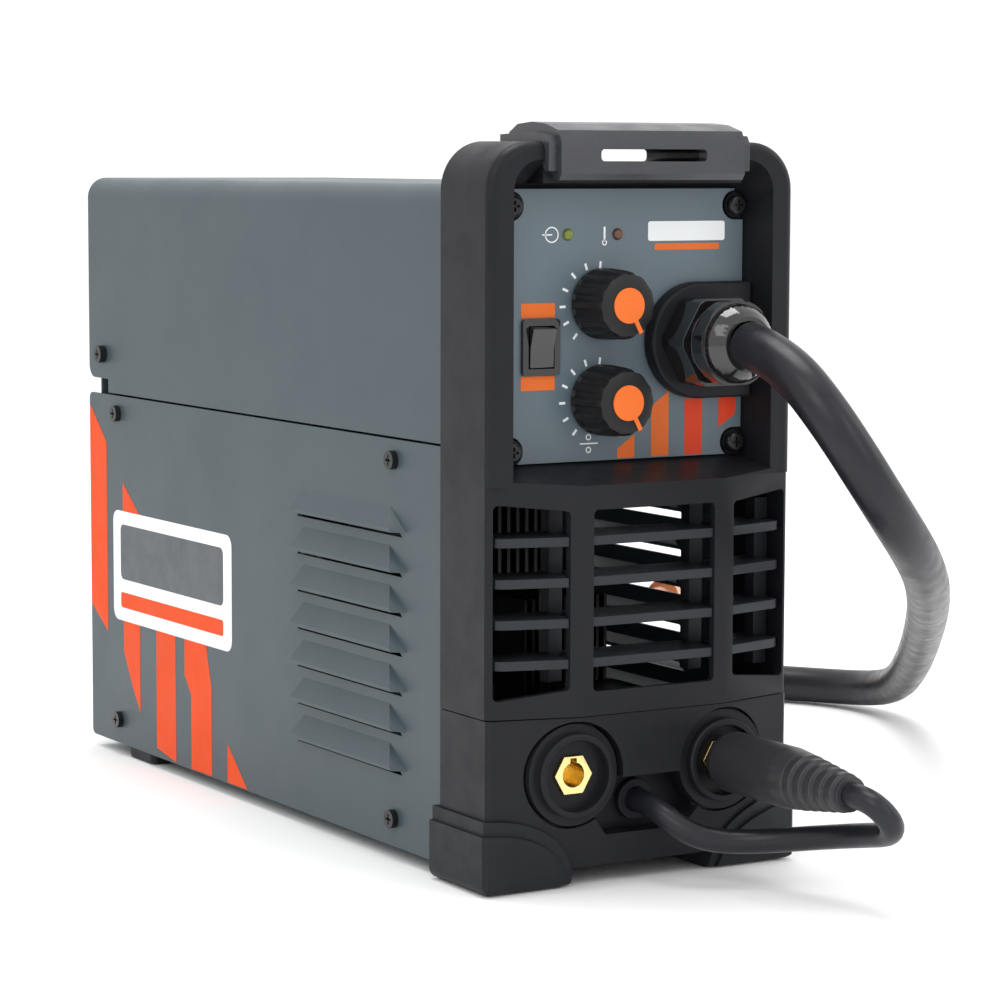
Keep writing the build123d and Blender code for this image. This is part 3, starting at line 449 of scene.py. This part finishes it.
orange = looks["orange_plastic"]
PANEL_PRINTS = {
    "plate_above_switch": (rounded(-45.4, -30.7, 212.6, 218.0, 0.5), SWITCH_INK, orange),
    "plate_below_switch": (rounded(-45.4, -30.7, 185.6, 190.9, 0.5), SWITCH_INK, orange),
    "panel_bar_1": ([(-2.7, 158.8), (5.0, 158.8), (5.0, 167.6), (-2.7, 162.4)], PANEL_INK, orange),
    "panel_bar_2": ([(12.6, 158.8), (20.5, 158.8), (20.5, 183.5), (12.6, 178)], PANEL_INK, orange),
    "panel_bar_3": ([(27.8, 158.8), (35.8, 158.8), (35.8, 180.3), (27.8, 180.3)], PANEL_INK, red_ink),
    "panel_bar_4": ([(43.4, 168.7), (51.4, 173.9), (51.4, 180.3), (43.4, 180.3)], PANEL_INK, red_ink),
    "name_plate": (rounded(10.5, 45.5, 240.6, 248, 1), PANEL_INK, white_ink),
    "name_plate_band": (rounded(13.5, 43, 237.2, 239.6, 0.4), PANEL_INK, orange),
}
for name, (outline, thickness, ink) in PANEL_PRINTS.items():
    plate(name, outline, thickness, ink, on_panel)


def ring_mark(name, x, z, r, width=0.45, steps=28):
    """A thin printed circle on the panel."""
    shape = bmesh.new()
    loops = []
    turn = [2 * math.pi * k / steps for k in range(steps)]
    for radius, depth in ((r - width, PANEL_INK), (r, PANEL_INK), (r, 0), (r - width, 0)):
        places = [on_panel(x + radius * math.cos(a), z + radius * math.sin(a), depth) for a in turn]
        loops.append([shape.verts.new(place) for place in places])
    for i in range(4):
        low, high = loops[i], loops[(i + 1) % 4]
        for k in range(steps):
            shape.faces.new((low[k], low[(k + 1) % steps], high[(k + 1) % steps], high[k]))
    from_bmesh(name, shape, white_ink)


def bar_mark(name, x0, x1, z0, z1):
    end_round = min(x1 - x0, z1 - z0) * 0.45
    plate(name, rounded(x0, x1, z0, z1, end_round), PANEL_INK, white_ink, on_panel)


ring_mark("power_mark_ring", -32.2, 243.3, 3.0)
bar_mark("power_mark_stem", -36.4, -32.0, 243.05, 243.55)
bar_mark("heat_mark_stem", -9.4, -8.6, 240.6, 246.2)
ring_mark("heat_mark_bulb", -9.0, 240.2, 1.1)
ring_mark("wire_mark_upper", -15.6, 167.3, 1.2)
ring_mark("wire_mark_lower", -15.6, 162.5, 1.2)
bar_mark("wire_mark_line", -19.4, -11.4, 164.65, 165.15)


# ---------------------------------------------------------------- knobs
def knob(node, z):
    """A control knob with broad grips round its skirt, as a tyre's tread."""
    def grip(a, i):
        depth = (0, 0.0, 0.075, 0.09, 0.09, 0.09, 0.06, 0.02, 0.0, 0.0, 0)[i]
        wave = math.cos(14 * a)
        return 1 - depth * (0.5 - 0.5 * max(-1, min(1, 3.2 * wave)))

    profile = [(0.01, KNOB_BACK), (13.3, KNOB_BACK), (13.4, -27.2), (13.4, -30), (13.2, -35), (13.0, -39),
               (12.6, -42.2), (11.6, -44.3), (9.6, -45.0), (7.2, -45.0), (0.01, -45.0)]
    piece = revolve(node + "_grip", profile, (KNOB_X, z), looks["knob_plastic"], body_named(node), 168, grip)
    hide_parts(node)


for node, height in KNOB_HEIGHTS.items():
    knob(node, height)


# ---------------------------------------------------------------- surroundings
def area_light(name, place, aim, size, power, colour=(1, 1, 1)):
    light = bpy.data.lights.new(name, "AREA")
    light.shape = "RECTANGLE"
    light.size, light.size_y = size
    light.energy = power
    light.color = colour
    item = bpy.data.objects.new(name, light)
    towards = (Vector(aim) - Vector(place)).to_track_quat("-Z", "Y").to_matrix().to_4x4()
    item.matrix_world = Matrix.Translation(place) @ towards
    bpy.context.collection.objects.link(item)


def surroundings():
    shape = bmesh.new()
    bmesh.ops.create_grid(shape, x_segments=2, y_segments=2, size=12)
    mesh = bpy.data.meshes.new("floor")
    shape.to_mesh(mesh)
    shape.free()
    floor = bpy.data.objects.new("floor", mesh)
    floor.location.z = -0.0004
    bpy.context.collection.objects.link(floor)
    paper = surface("floor_paper", (0.93, 0.93, 0.93), 0.7, vary=0.01, patch=2, grain=90, relief=0.00002)
    mesh.materials.append(paper)
    world = bpy.data.worlds.new("studio")
    world.use_nodes = True
    background = world.node_tree.nodes["Background"]
    background.inputs["Color"].default_value = (1, 1, 1, 1)
    background.inputs["Strength"].default_value = 1.1
    bpy.context.scene.world = world
    bpy.context.scene.view_settings.view_transform = "Standard"
    area_light("key", (-1.6, -1.0, 1.5), (0, 0, 0.12), (1.2, 1.2), 9)
    area_light("front_strip", (0.5, -1.9, 1.1), (0, -0.1, 0.15), (0.5, 1.4), 4)
    area_light("right_strip", (1.5, -0.6, 0.9), (0.05, -0.1, 0.15), (0.5, 1.3), 3)
    area_light("top", (0.0, 0.1, 1.9), (0, 0, 0.1), (1.0, 1.0), 20)


surroundings()

# ---------------------------------------------------------------- torch parts
pieces = frame["nodes"]
torch_parts = [pieces[n] for n in ("torch_handle", "torch_neck")]
torch_parts += [bpy.data.objects[n] for n in ("torch_nozzle_rounded", "torch_trigger_rounded")]
